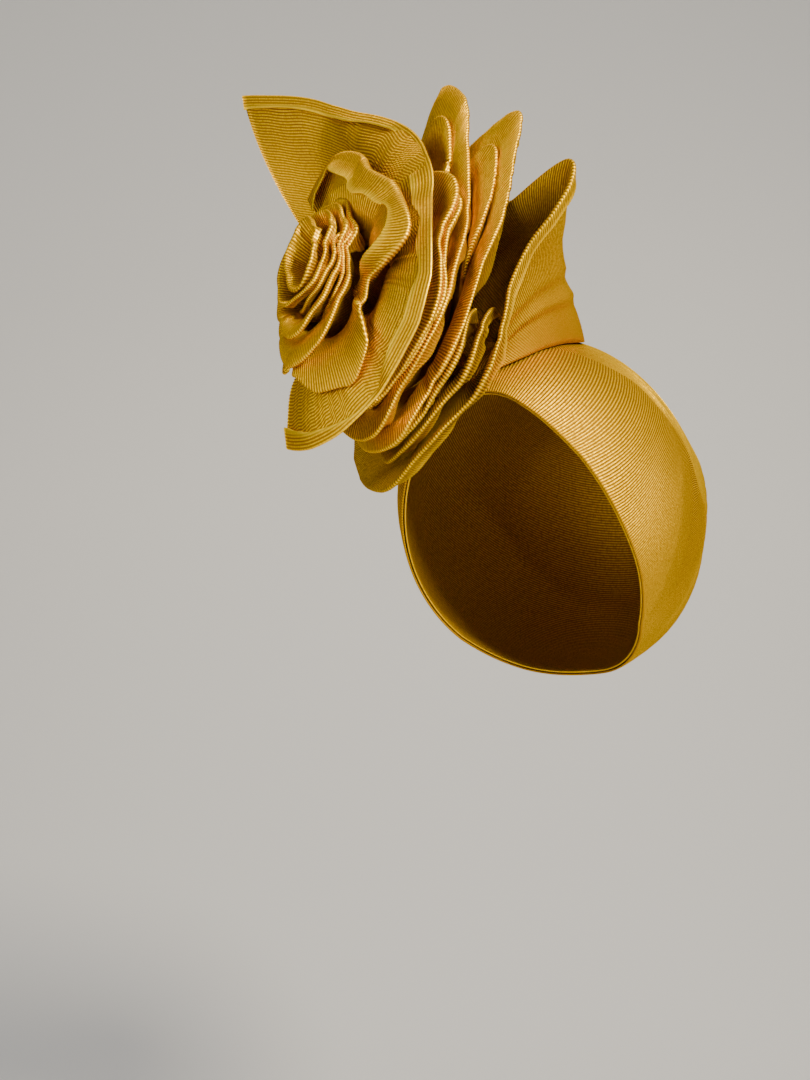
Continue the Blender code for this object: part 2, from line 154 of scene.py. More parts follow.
# Petals from the outermost in: name, reach of the root on the heart, dish in degrees, sweep of the
# far end in degrees, and a lip row for each turn of the edge: angle, radius, reach.
PETALS = [Petal(*row) for row in (
    ("peak_right", 17, 6, 0, (
        (-120, 66, 46), (-82, 82, 52), (-50, 60, 48), (-17, 56, 45), (16, 66, 41), (33, 84, 39),
        (45, 111, 38), (54, 134, 36), (64, 112, 38), (80, 88, 36), (120, 76, 28), (180, 70, 26))),
    ("peak_middle", 22, 6, 0, (
        (-110, 70, 64), (-82, 84, 63), (-60, 66, 61), (-30, 60, 59), (-3, 58, 56), (35, 72, 50),
        (58, 103, 48), (68, 130, 48), (77, 139, 48), (85, 122, 44), (100, 96, 34), (150, 78, 26))),
    ("fold_far", 26, 6, 0, (
        (125, 84, 36), (145, 76, 38), (170, 70, 42), (200, 66, 50), (230, 68, 58), (246, 74, 62))),
    ("fold_wide", 30, 6, 0, (
        (-80, 70, 66), (-55, 64, 64), (-15, 60, 62), (20, 64, 60), (34, 76, 58), (46, 70, 58))),
    ("fold_slim", 34, 6, 0, (
        (-70, 76, 70), (-45, 70, 68), (-15, 66, 66), (20, 62, 63), (42, 80, 61), (58, 74, 60))),
    ("fan_petal", 38, 6, 30, (
        (-104, 108, 81), (-92, 111, 80), (-80, 107, 78), (-55, 92, 76), (-30, 80, 76),
        (0, 73, 75), (26, 70, 71), (40, 76, 69), (66, 90, 68), (88, 109, 69), (104, 134, 72),
        (114, 152, 74), (121, 168, 75))),
    ("far_petal", 43, 6, 0, (
        (120, 74, 68), (150, 64, 72), (180, 56, 76), (210, 56, 79), (240, 70, 82))),
    ("hood_petal", 47, 6, 0, (
        (-45, 40, 74), (-22, 54, 78), (0, 62, 80), (30, 57, 80), (55, 60, 80), (75, 72, 78),
        (95, 78, 78), (120, 62, 80))),
    ("hood_inner", 50, 4, 0, (
        (-94, 84, 90), (-82, 90, 87), (-70, 88, 84), (-60, 80, 84), (-48, 68, 84), (-38, 56, 84),
        (-28, 52, 84), (-14, 56, 84), (2, 57, 84), (26, 49, 85), (50, 50, 85), (72, 50, 85),
        (95, 46, 85), (125, 38, 87))),
    ("pleat_outer", 53, 3, 0, (
        (-180, 32, 88), (-150, 38, 90), (-120, 54, 92), (-92, 80, 92), (-76, 72, 91),
        (-52, 46, 90), (-20, 30, 88), (15, 25, 87), (50, 32, 85), (80, 47, 84), (105, 46, 84),
        (140, 34, 86), (180, 32, 88))),
    ("pleat_middle", 60, 2, 0, (
        (-180, 26, 94), (-150, 31, 95), (-115, 48, 96), (-90, 66, 96), (-70, 52, 95),
        (-40, 31, 94), (0, 21, 92), (40, 24, 90), (75, 37, 88), (105, 36, 88), (140, 28, 91),
        (180, 26, 94))),
    ("pleat_inner", 68, 1, 0, (
        (-180, 20, 98), (-140, 26, 99), (-100, 44, 99), (-75, 38, 99), (-40, 22, 98),
        (0, 16, 97), (40, 18, 95), (80, 28, 93), (110, 26, 93), (150, 20, 96), (180, 20, 98))),
)]

# Heart: lip of the roll of cloth that the petals are wound on, angle, radius, reach
HEART = (
    (-180, 14, 100), (-130, 17, 100), (-95, 25, 100), (-60, 17, 100), (0, 10, 100),
    (60, 12, 99), (95, 18, 98), (140, 13, 99), (180, 14, 100),
)

# Node of each sheet that doesn't stand for its own or, of a ply, for the sheet outside it
NODES = {"hood_inner": "hood_petal", "hood_tuck": "hood_petal"}

# Plies that lie between two sheets of the rose: name, outer sheet, inner sheet, share of the way
# in, first and last angle, how far the lip stands over the two sheets' own in mm.
PLIES = [Ply(*row) for row in (
    ("swathe_ply", "wrap_swathe", "peak_right", 0.40, -114, 13, 0),
    ("swathe_tuck", "wrap_swathe", "peak_right", 0.72, -112, 7, 1),
    ("right_inset", "peak_right", "peak_middle", 0.40, 26, 62, -2),
    ("peak_inset", "peak_middle", "fold_wide", 0.22, 54, 80, -4),
    ("middle_ply", "peak_middle", "fold_wide", 0.45, -98, 14, 0),
    ("wide_ply", "fold_wide", "fold_slim", 0.50, -72, 38, 2),
    ("hood_tuck", "fan_petal", "hood_inner", 0.50, -106, -52, -8),
    ("pleat_ply", "pleat_outer", "pleat_middle", 0.50, -104, 110, 0),
    ("inner_ply", "pleat_middle", "pleat_inner", 0.50, -140, 96, 1),
)]

# Finish of each sheet: radius of its folded lip in mm, length turned over the lip in mm, side that
# it turns to (1 is away from the rose's middle), how far the turned length stands off as a share of
# itself, depth of its own folds in mm, number of folds round a full turn, lean of the folds in
# turns from root to lip, curl of the lip away from the rose's middle in mm, seed of its waves.
FINISH = {name: Finish(*row) for name, row in {
    "wrap_swathe": (0.8, 8.0, 1, 0.45, 2.0, 4, 0.10, 1.0, 3),
    "swathe_ply": (0.9, 8.0, 1, 0.50, 2.0, 4, 0.10, 0.8, 3),
    "swathe_tuck": (0.9, 7.0, 1, 0.40, 2.2, 4, 0.08, 0.6, 8),
    "heart_roll": (0.6, 3.0, 1, 0.30, 1.0, 2, 0.0, 0.5, 5),
    "peak_right": (0.9, 11.0, 1, 0.80, 2.6, 4, 0.05, 1.5, 8),
    "peak_middle": (0.9, 9.0, 1, 0.80, 2.6, 4, -0.05, 1.5, 12),
    "right_inset": (1.0, 7.0, 1, 0.40, 2.4, 4, 0.05, 0.6, 8),
    "peak_inset": (1.0, 7.0, 1, 0.35, 2.4, 4, -0.05, 0.6, 12),
    "hood_tuck": (1.0, 6.0, 1, 0.30, 1.6, 3, 0.06, 0.6, 23),
    "middle_ply": (0.9, 7.0, 1, 0.40, 2.4, 4, -0.05, 0.8, 12),
    "fold_far": (0.9, 7.0, 1, 0.30, 3.0, 4, 0.05, 1.5, 14),
    "fold_wide": (0.8, 5.0, 1, 0.50, 2.6, 4, 0.05, 1.5, 17),
    "wide_ply": (0.9, 6.0, 1, 0.35, 2.2, 4, 0.05, 0.8, 17),
    "fold_slim": (1.0, 8.0, 1, 0.60, 2.6, 4, -0.04, 1.5, 21),
    "fan_petal": (0.4, 9.5, -1, 0.10, 1.6, 3, 0.06, 1.5, 23),
    "far_petal": (0.7, 6.0, 1, 0.30, 2.0, 4, 0.05, 1.5, 27),
    "hood_petal": (2.0, 12.0, -1, 0.30, 2.0, 3, 0.10, 0.5, 31),
    "hood_inner": (0.6, 4.0, 1, 0.30, 2.4, 3, 0.10, 1.0, 67),
    "pleat_outer": (0.9, 6.0, 1, 0.40, 3.4, 3, 0.04, 1.0, 36),
    "pleat_ply": (0.8, 4.0, 1, 0.25, 3.0, 3, 0.04, 0.6, 36),
    "pleat_middle": (0.9, 4.5, 1, 0.30, 2.8, 3, 0.0, 0.8, 36),
    "inner_ply": (0.7, 3.5, 1, 0.25, 2.6, 3, 0.0, 0.6, 36),
    "pleat_inner": (0.7, 4.0, 1, 0.40, 1.2, 2, 0.05, 0.8, 45),
}.items()}

# The sheet of the rose whose ribs run along its lip; on the others they run from root to lip
RIBS_ALONG = "fan_petal"

# Pleats laid over one another: sheet, angle at the root, angle at the lip, height of the step in mm
CREASES = (
    ("wrap_swathe", 88, -66, 3.4), ("wrap_swathe", 128, -36, 3.2), ("wrap_swathe", 152, 6, 2.0),
    ("fan_petal", 60, 96, 1.6), ("fan_petal", -30, -64, 2.4), ("fan_petal", 8, -20, 2.0),
    ("peak_right", 66, 44, 2.0), ("peak_middle", 92, 74, 2.0),
    ("hood_inner", -20, -50, 2.2), ("hood_inner", 40, 20, 2.0),
)

# Step of a laid pleat: how far it fades behind its edge, width of the edge, also in rows of the
# sheet, share of it that is pressed flat at the lip, and share of the height where that begins
CREASE_REACH = radians(26)
CREASE_EDGE = radians(4.5)
CREASE_ROWS = 2.2
CREASE_FADE = 0.7
CREASE_FADE_START = 0.75

# Fine creases: height in mm, number for each fold, lean as a share of the folds', number of patches
CREASE_DEPTH = 0.9
CREASES_PER_FOLD = 3.3
CREASE_LEAN = 0.6
CREASE_PATCHES = 5

# How far the sheets inside the fan are drawn in below their lips, and its share at each angle
# round the rose
TRUMPET = 0.36
TRUMPET_PEAK = 9.48
TRUMPET_SIDE = (
    (-180, 0.0), (-130, 0.2), (-105, 0.9), (-60, 1.0), (30, 1.0), (80, 0.6), (130, 0.0), (180, 0.0),
)
INSIDE_FAN = (
    "fan_petal", "far_petal", "hood_petal", "hood_inner", "pleat_outer", "pleat_middle", "pleat_inner",
)
FAN_LIP = next(petal.lip for petal in PETALS if petal.name == "fan_petal")

# The hood holds the sheets inside it from its first lip row on, and begins to this many degrees before
HOOD_RELEASE = 14

# Folds that all the sheets of the rose share: depth in mm, distances from the axis and from the base
# at which they are full, number round a full turn, lean in turns, seed
SHARED_DEPTH = 2.0
SHARED_RADIUS = 0.085
SHARED_REACH = 0.110
SHARED_COUNT = 5
SHARED_LEAN = 0.10
SHARED_SEED = 4

# Parts of a wave: number of waves and height, as shares of the whole wave's
WAVE_PARTS = ((1.0, 0.55), (1.7, 0.30), (0.45, 0.35), (2.9, 0.14))
CUSP_PARTS = ((1.0, 0.65), (1.7, 0.35))

# Shares of a sheet's height where folds begin, where the lip's curl begins and where its foot is
# free of the layer below, and where its ribs begin and reach their full height
FOLD_START = 0.25
CURL_START = 0.72
FOOT_FREE = 0.12
RIB_START = 0.10
RIB_FULL = 0.35

# Turned-over lips: shortest length, its mean and swing as shares of the table's, swings of the
# stand-off and of the roll's radius, share of the ribs' height pressed flat at the fold and how far
SHORTEST_TURN = 0.0015
TURN_MEAN = 0.8
TURN_SWING = 0.5
FLARE_SWING = 0.7
FLARE_BEND = 1.6
ROLL_SWING = 0.4
LIP_RIBS = 0.7
LIP_PRESSED = 0.0025

# Pale lines: width at the cut edge, the cloth's own selvage at full strength, and width and strength of
# the painted highlight at the folded edge and along the band's upper edge
SELVAGE_WIDTH = 0.0010
FOLD_HIGHLIGHT = (0.0012, 0.15)
BAND_HIGHLIGHT = (0.0015, 0.5)

# Plies: root as a share of the lip's distance, distance at the ends, clearance to the band
PLY_ROOT = 0.68
PLY_ENDS = 0.6
PLY_CLEARANCE = 0.003

# Rows and columns of the sheets' grids
PLY_ROWS = 13
ACROSS_ROWS = 14
SWATHE_ROWS = 28
ROW_SPACING = 0.85
ALONG_COLUMNS = 97
ALONG_HEIGHT = 0.140
LIP_STEPS = 2
TURN_STEPS = 4
DROP_STEPS = 3
BAND_STEPS = 721
BAND_ROWS = np.concatenate([(0, 0.015, 0.035), np.linspace(0.08, 1, 14)])
CAP_COLUMNS = 241
CAP_ROWS = np.concatenate([np.linspace(0, 1, 12), 1 + np.linspace(0, 0.996, 40)[1:]])

# Painted fold shade as a tone, where 1 is none: of the cap's plain cloth, which lies under the band,
# and of the band, and what the band's loses at the rim within a distance, painted shade where its hem
# turns in
CAP_TONE = 0.75
BAND_TONE = 0.9
RIM_SHADE = 0.7
RIM_WIDTH = 0.0016

# Axes of the rose, and the grid of angles and distances on which its layers are nested
ROSE_OUT = np.array((-sin(ROSE_TURN) * cos(ROSE_LIFT), -cos(ROSE_TURN) * cos(ROSE_LIFT), sin(ROSE_LIFT)))
ROSE_SIDE = np.array((cos(ROSE_TURN), -sin(ROSE_TURN), 0.0))
ROSE_UP = np.cross(ROSE_OUT, ROSE_SIDE)
GRID_ANGLES = np.radians(np.arange(-180, 271, 3.0))
GRID_DISTANCES = ROSE_RADIUS * np.arange(0.06, 2.31, 0.01)


class GeleSizes(bpy.types.PropertyGroup):
    """Sizes of the cloth's ribs, walls and lips."""

    rib_pitch: bpy.props.FloatProperty(
        name="Rib pitch", description="Distance from one rib of the cloth to the next",
        default=0.0018, min=0.001, max=0.005, precision=4, subtype="DISTANCE", unit="LENGTH")
    rib_depth: bpy.props.FloatProperty(
        name="Rib depth", description="Height of a rib over the valley beside it",
        default=0.00045, min=0, max=0.001, precision=5, subtype="DISTANCE", unit="LENGTH")
    wall: bpy.props.FloatProperty(
        name="Cloth wall", description="Thickness of the cloth between its ribs",
        default=0.0009, min=0.0005, max=0.003, precision=4, subtype="DISTANCE", unit="LENGTH")
    lip_wave: bpy.props.FloatProperty(
        name="Lip wave", description="How far a lip wanders from its even line",
        default=0.0024, min=0, max=0.01, precision=4, subtype="DISTANCE", unit="LENGTH")
    columns_per_rib: bpy.props.IntProperty(
        name="Columns per rib", description="Columns of the mesh for each rib of the cloth",
        default=3, min=2, max=8)


class GeleColours(bpy.types.PropertyGroup):
    """Colours of the cloth."""

    gold: bpy.props.FloatVectorProperty(
        name="Gold", description="Colour of the ribs' crests in the light",
        default=(0.94, 0.58, 0.002), size=3, min=0, max=1, subtype="COLOR")
    # Painted shade: the colour of the ground in the valleys between the ribs
    shade_gold: bpy.props.FloatVectorProperty(
        name="Shade gold", description="Colour of the cloth's ground between the ribs",
        default=(0.33, 0.145, 0.0005), size=3, min=0, max=1, subtype="COLOR")
    # Painted shade with a painted orange glow of light bounced between the sheets, deep in the folds
    fold_shade_gold: bpy.props.FloatVectorProperty(
        name="Deep gold", description="Colour deep in the folds",
        default=(0.44, 0.22, 0.0005), size=3, min=0, max=1, subtype="COLOR")
    # The cloth's own pale selvage at cut edges, and a painted highlight on folded edges and on the band's
    # upper edge
    selvage_and_highlight: bpy.props.FloatVectorProperty(
        name="Selvage", description="Colour of the cut and folded edges",
        default=(0.95, 0.64, 0.01), size=3, min=0, max=1, subtype="COLOR")


class GeleStudio(bpy.types.PropertyGroup):
    """The floor and the lights."""

    floor_drop: bpy.props.FloatProperty(
        name="Floor drop", description="Distance of the floor below the head tie",
        default=0.42, min=0.1, max=2, subtype="DISTANCE", unit="LENGTH")
    floor_colour: bpy.props.FloatVectorProperty(
        name="Floor", description="Colour of the floor and of its curved-up end",
        default=(0.88, 0.87, 0.85), size=3, min=0, max=1, subtype="COLOR")
    key_power: bpy.props.FloatProperty(
        name="Key light", description="Power of the large light at the upper right",
        default=39, min=0, subtype="POWER", unit="POWER")
    fill_power: bpy.props.FloatProperty(
        name="Fill light", description="Power of the soft light at the left",
        default=5, min=0, subtype="POWER", unit="POWER")


def eased(x, table, index=1):
    """Smooth curve through a column of a table, by its first, that never swings past its rows."""
    xs = np.array([row[0] for row in table], float)
    ys = np.array([row[index] for row in table], float)
    x = np.clip(x, xs[0], xs[-1])
    i = np.clip(np.searchsorted(xs, x) - 1, 0, len(xs) - 2)
    step = xs[i + 1] - xs[i]
    chord = np.diff(ys) / np.diff(xs)
    slope = np.zeros_like(ys)
    both = chord[:-1] + chord[1:]
    turns = chord[:-1] * chord[1:] <= 0
    slope[1:-1] = np.where(turns, 0, 2 * chord[:-1] * chord[1:] / np.where(both == 0, 1, both))
    slope[0] = chord[0]
    slope[-1] = chord[-1]
    t = (x - xs[i]) / step
    start = (1 + 2 * t) * (1 - t) ** 2 * ys[i] + t * (1 - t) ** 2 * step * slope[i]
    end = t * t * (3 - 2 * t) * ys[i + 1] + t * t * (t - 1) * step * slope[i + 1]
    return start + end


def rose_point(angle, distance, tilt):
    """Point at a distance from the rose's base, tilted away from its axis, at an angle round it."""
    radius = distance * np.sin(tilt)
    reach = distance * np.cos(tilt)
    side = radius * np.cos(angle)
    up = radius * np.sin(angle) + ROSE_RISE * reach
    return ROSE_BASE + side[..., None] * ROSE_SIDE + up[..., None] * ROSE_UP + reach[..., None] * ROSE_OUT


def head_level(point, off):
    """Below 1 inside the hollow's form grown by off, above 1 outside it."""
    depth = np.where(point[..., 1] < 0, HEAD_FRONT, HEAD_BACK) + off
    height = np.where(point[..., 2] > 0, HEAD_TOP, HEAD_LOW) + off
    across = point[..., 0] / (HEAD_SIDE + off)
    return across ** 2 + (point[..., 1] / depth) ** 2 + (point[..., 2] / height) ** 2


def head_point(around, elevation, off):
    depth = np.where(np.cos(around) > 0, HEAD_FRONT, HEAD_BACK) + off
    height = np.where(elevation > 0, HEAD_TOP, HEAD_LOW) + off
    x = (HEAD_SIDE + off) * np.cos(elevation) * np.sin(around)
    y = -depth * np.cos(elevation) * np.cos(around)
    z = height * np.sin(elevation)
    return np.stack([x, y, z], -1)


def rim_elevation(around):
    """Elevation of the front opening's rim, its table's corners rounded off."""
    total = 0
    for off in RIM_ROUNDING:
        total = total + eased(np.degrees(np.abs(around + radians(off))), RIM)
    return np.arcsin(total / len(RIM_ROUNDING))


def band_elevation(around):
    return np.radians(eased(np.degrees(np.abs(around)), BAND_EDGE))


def seat_offset():
    """Height of the middle of the wrap's wall over the hollow: cap, band and half a wall."""
    return 2.5 * CLOTH_WALL + 2 * LAYER_GAP


def halved(low, high, holds):
    """Narrows low and high, by halving, down to where a test that holds at low stops holding."""
    for _ in range(HALVINGS):
        middle = (low + high) / 2
        held = holds(middle)
        low = np.where(held, middle, low)
        high = np.where(held, high, middle)
    return low, high


def over_band(angle, distance, tilt):
    return head_level(rose_point(angle, distance, tilt), seat_offset()) >= 1


def cap_tilt(angle, distance):
    """Largest tilt that stays clear of the band."""
    high = np.full(np.broadcast(angle, distance).shape, WIDEST_TILT)
    return halved(np.zeros_like(high), high, lambda tilt: over_band(angle, distance, tilt))[0]


def polar(radius, reach):
    return np.hypot(radius, reach), np.arctan2(radius, reach)


def half_turn(angle):
    return (angle + pi) % (2 * pi) - pi


def lip_at(rows, angle):
    """Distance and tilt of a lip from its rows of radius and reach."""
    turn = np.degrees(angle)
    radius = eased(turn, rows, 1) / 100 * ROSE_RADIUS
    reach = eased(turn, rows, 2) / 100 * ROSE_DEPTH
    return polar(radius, reach)


def swathe_wall(angle, up):
    """Distance and tilt of the outer wrap at a share of its height over its seam."""
    turned = half_turn(angle)
    lip_distance, lip_tilt = lip_at(SWATHE, turned)
    seam = eased(np.degrees(turned), SWATHE, 3) / 100 * ROSE_RADIUS
    seam_tilt = cap_tilt(turned, seam)
    distance = seam + (lip_distance - seam) * up ** SEAM_FLARE
    tilt = lip_tilt + (seam_tilt - lip_tilt) * np.clip(1 - up, 0, 1) ** SEAM_BEND
    return distance, np.minimum(tilt, cap_tilt(turned, distance))


def heart_radius(angle, reach):
    """Radius of the heart's roll at a reach: a plain roll that opens near its lip."""
    lip_distance, lip_tilt = lip_at(HEART, half_turn(angle))
    up = np.clip(reach / (lip_distance * np.cos(lip_tilt)), 0, 1)
    return HEART_RADIUS + (lip_distance * np.sin(lip_tilt) - HEART_RADIUS) * up ** HEART_FLARE


def heart_foot(angle):
    """Reach at which the heart's roll meets the band."""
    low = np.full(angle.shape, -0.1 * ROSE_DEPTH)
    high = np.full(angle.shape, 0.3 * ROSE_DEPTH)
    return halved(low, high, lambda reach: ~over_band(angle, *polar(HEART_RADIUS, reach)))[1]


def root_at(petal, angle):
    """Distance and tilt of a petal's root, one gap off the heart's roll."""
    reach = petal.root / 100 * ROSE_DEPTH
    return polar(heart_radius(angle, reach) + ROOT_ROOM * (CLOTH_WALL + LAYER_GAP), reach)


def least_tilt(angle, distance):
    """Tilt that still clears the heart's roll."""
    radius = heart_radius(angle, distance) + ROOT_ROOM * (CLOTH_WALL + LAYER_GAP)
    return np.arcsin(np.clip(radius / distance, 0, 1))


def free_tilt(petal, angle, distance):
    """Tilt that a petal takes where no other layer holds it."""
    root_distance, root_tilt = root_at(petal, angle)
    lip_distance, lip_tilt = lip_at(petal.lip, angle)
    share = np.clip((distance - root_distance) / (lip_distance - root_distance), 0, PETAL_OVERRUN)
    left = np.clip(1 - share, 0, 1) ** ROOT_BEND
    dish = radians(petal.dish) * DISH_PEAK * share ** 2 * (1 - share)
    return root_tilt * left + lip_tilt * (1 - left) - dish


def step_in(tilt):
    """The next layer's limit: one wall and one gap nearer the axis, more on a slope."""
    along = np.gradient(tilt, GRID_DISTANCES, axis=1) * GRID_DISTANCES
    across = np.gradient(tilt, GRID_ANGLES, axis=0) / np.sin(np.maximum(tilt, SMALLEST_TILT))
    slope = np.clip(np.sqrt(1 + along ** 2 + across ** 2), 1, STEEPEST)
    return tilt - LAYER_ROOM * (CLOTH_WALL + LAYER_GAP) * slope / GRID_DISTANCES


def layer_tilts():
    """Tilt of every petal on the grid of angles and distances, each nested in the one before."""
    angles, distances = np.meshgrid(GRID_ANGLES, GRID_DISTANCES, indexing="ij")
    heights = np.linspace(0, 1, WALL_ROWS)
    wall = np.empty_like(angles)
    for i, angle in enumerate(GRID_ANGLES):
        distance, tilt = swathe_wall(np.full(WALL_ROWS, angle), heights)
        wall[i] = np.interp(GRID_DISTANCES, distance, tilt, left=pi)
    widest = cap_tilt(angles, distances)
    limit = np.minimum(widest, step_in(wall))
    nearest = least_tilt(angles, distances)
    tilts = {"wrap_swathe": np.minimum(wall, widest)}
    for petal in PETALS:
        tilt = np.minimum(free_tilt(petal, angles, distances), limit)
        tilts[petal.name] = np.maximum(tilt, nearest)
        held = 1.0
        if petal.name == "hood_petal":
            held = smooth_step(np.degrees(angles), petal.lip[0][0] - HOOD_RELEASE, petal.lip[0][0])
        limit = limit + (step_in(tilts[petal.name]) - limit) * held
    return tilts


def drawn_in(angle, distance, tilt):
    """Tilt of a sheet inside the fan, drawn in below its lip so that it opens like a trumpet."""
    turn = (np.degrees(angle) + 180) % 360 - 180
    held = np.radians(np.clip(turn, FAN_LIP[0][0], FAN_LIP[-1][0]))
    lip_distance = lip_at(FAN_LIP, held)[0]
    along = np.clip(distance / lip_distance, 0, 1)
    side = eased(turn, TRUMPET_SIDE)
    drawn = tilt * (1 - TRUMPET * side * TRUMPET_PEAK * along ** 3 * (1 - along))
    return np.maximum(drawn, np.minimum(tilt, least_tilt(angle, distance)))


def read_grid(grid, angle, distance):
    a = (angle - GRID_ANGLES[0]) / (GRID_ANGLES[1] - GRID_ANGLES[0])
    a = np.clip(a, 0, len(GRID_ANGLES) - 1.001)
    d = (distance - GRID_DISTANCES[0]) / (GRID_DISTANCES[1] - GRID_DISTANCES[0])
    d = np.clip(d, 0, len(GRID_DISTANCES) - 1.001)
    i, j = a.astype(int), d.astype(int)
    a, d = a - i, d - j
    near = grid[i, j] * (1 - d) + grid[i, j + 1] * d
    far = grid[i + 1, j] * (1 - d) + grid[i + 1, j + 1] * d
    return near * (1 - a) + far * a


def is_ring(rows):
    return rows[-1][0] - rows[0][0] == 360


def unit(v):
    return v / np.maximum(np.linalg.norm(v, axis=-1, keepdims=True), 1e-12)


def smooth_step(x, low, high):
    t = np.clip((x - low) / (high - low), 0, 1)
    return t * t * (3 - 2 * t)


def waves(x, turns, seed):
    """Uneven wave along x in turns, from a few sines whose counts share no rhythm; about -1 to 1."""
    random = np.random.default_rng(seed)
    total = np.zeros_like(x)
    for share, size in WAVE_PARTS:
        count = max(1, round(turns * share))
        total = total + size * np.sin(2 * pi * (count * x + random.random()))
    return total


def cusps(x, turns, seed):
    """Like waves, with sharp ridges and round valleys, as pinched cloth has."""
    random = np.random.default_rng(seed)
    total = np.zeros_like(x)
    for share, size in CUSP_PARTS:
        count = max(1, round(turns * share))
        total = total + size * (1 - 2 * np.abs(np.sin(pi * (count * x + random.random()))))
    return total


def run_along(points, axis):
    """Length of the way along one axis of a grid of points, from 0 at its first."""
    steps = np.linalg.norm(np.diff(points, axis=axis), axis=-1)
    return np.concatenate([np.zeros_like(steps.take([0], axis)), np.cumsum(steps, axis)], axis)


def even_turns(rows, steps):
    """Angles of the columns, spaced evenly along the lip."""
    fine = np.radians(np.linspace(rows[0][0], rows[-1][0], 2000))
    run = run_along(rose_point(fine, *lip_at(rows, fine)), 0)
    return np.interp(np.linspace(0, run[-1], steps), run, fine), run[-1]


def sheet_normals(points, ring):
    """Unit normals of a grid of points; a ring's last column is its first again."""
    if ring:
        wrapped = np.concatenate([points[-2:-1], points, points[1:2]])
        across = wrapped[2:] - wrapped[:-2]
    else:
        across = np.gradient(points, axis=0)
    along = np.gradient(points, axis=1)
    return unit(np.cross(across, along))


def add_object(name, data):
    thing = bpy.data.objects.new(name, data)
    bpy.context.scene.collection.objects.link(thing)
    return thing


def cloth_mesh(name, middle, ring, rib_x, rib_y, depth, edge, rib_share=1.0):
    """Closed sheet: outer skin up to the lip, round its roll, and down the inner skin.

    middle holds points from root to lip for each column. rib_x is the place across the ribs in
    metres, rib_y the place along them. depth is 0 deep in the folds and 1 out at the lip, and sets the
    painted fold shade; edge is 1 at a cut edge, which is pale in the cloth itself, and on a fold's
    crest, where it lays a painted highlight.
    """
    sizes = bpy.context.scene.gele_sizes
    normal = sheet_normals(middle, ring)
    ribs_along = name == RIBS_ALONG
    axis = int(ribs_along)
    spread = np.linalg.norm(np.gradient(middle, axis=axis), axis=-1)
    gathered = np.clip(spread / np.maximum(np.abs(np.gradient(rib_x, axis=axis)), 1e-6), 0.15, 1)
    rib = 0.5 * sizes.rib_depth * rib_share * gathered * np.cos(2 * pi * rib_x / sizes.rib_pitch)
    thick = sizes.wall / 2 + rib * smooth_step(depth, RIB_START, RIB_FULL)
    tip = unit(middle[:, -1] - middle[:, -2])
    turn = np.linspace(0, pi, LIP_STEPS + 2)[1:-1]
    rim_thick = thick[:, -1][:, None, None]
    roll = middle[:, -1][:, None] + rim_thick * (
        np.cos(turn)[None, :, None] * normal[:, -1][:, None] + np.sin(turn)[None, :, None] * tip[:, None])
    loop = np.concatenate(
        [middle + normal * thick[..., None], roll, (middle - normal * thick[..., None])[:, ::-1]], axis=1)
    tip_run = np.cumsum(np.full((len(middle), LIP_STEPS + 1), pi / (LIP_STEPS + 1)), 1) * thick[:, -1:]

    def round_loop(values, moves=False):
        """A value of the sheet carried round the lip; one that counts along the ribs goes on."""
        over = np.repeat(values[:, -1:], LIP_STEPS, axis=1)
        back = values[:, ::-1]
        if moves:
            over = over + tip_run[:, :-1]
            back = 2 * values[:, -1:] - back + tip_run[:, -1:]
        return np.concatenate([values, over, back], axis=1)

    columns, round_rows = loop.shape[:2]
    used = columns - 1 if ring else columns
    points = loop[:used].reshape(-1, 3)
    i, j = np.meshgrid(np.arange(columns - 1), np.arange(round_rows), indexing="ij")
    i, j = i.ravel(), j.ravel()
    k = (i + 1) % used
    l = (j + 1) % round_rows
    quads = np.stack([i * round_rows + j, k * round_rows + j, k * round_rows + l, i * round_rows + l], 1)
    corner_u = np.stack([i, i + 1, i + 1, i], 1)
    corner_v = np.stack([j, j, l, l], 1)
    row = np.arange(0 if ring else round_rows // 2 - 1)
    end = np.stack([row, row + 1, round_rows - 2 - row, round_rows - 1 - row], 1)
    end_quads = np.concatenate([end[:, ::-1], end + (columns - 1) * round_rows])
    all_quads = np.concatenate([quads, end_quads])
    mesh = bpy.data.meshes.new(name)
    mesh.vertices.add(len(points))
    mesh.vertices.foreach_set("co", points.astype(np.float32).ravel())
    mesh.loops.add(all_quads.size)
    mesh.loops.foreach_set("vertex_index", all_quads.astype(np.int32).ravel())
    mesh.polygons.add(len(all_quads))
    mesh.polygons.foreach_set("loop_start", np.arange(0, all_quads.size, 4, dtype=np.int32))
    mesh.update(calc_edges=True)
    uv = np.empty((len(all_quads), 4, 2), np.float32)
    for axis, values in enumerate((round_loop(rib_x, ribs_along), round_loop(rib_y, not ribs_along))):
        uv[:len(quads), :, axis] = values[corner_u, corner_v]
        uv[len(quads):, :, axis] = values[end_quads // round_rows, end_quads % round_rows]
    layer = mesh.uv_layers.new(name="cloth")
    layer.data.foreach_set("uv", uv.ravel())
    # The tone attribute: its first channel is the depth that sets the painted fold shade, its second the
    # pale lines of selvage and painted highlight
    tone = np.ones((len(points), 4), np.float32)
    tone[:, 0] = round_loop(depth)[:used].ravel()
    tone[:, 1] = round_loop(edge)[:used].ravel()
    mesh.attributes.new("tone", "FLOAT_COLOR", "POINT").data.foreach_set("color", tone.ravel())
    mesh.shade_smooth()
    mesh.validate()
    return add_object(name + "_cloth", mesh)


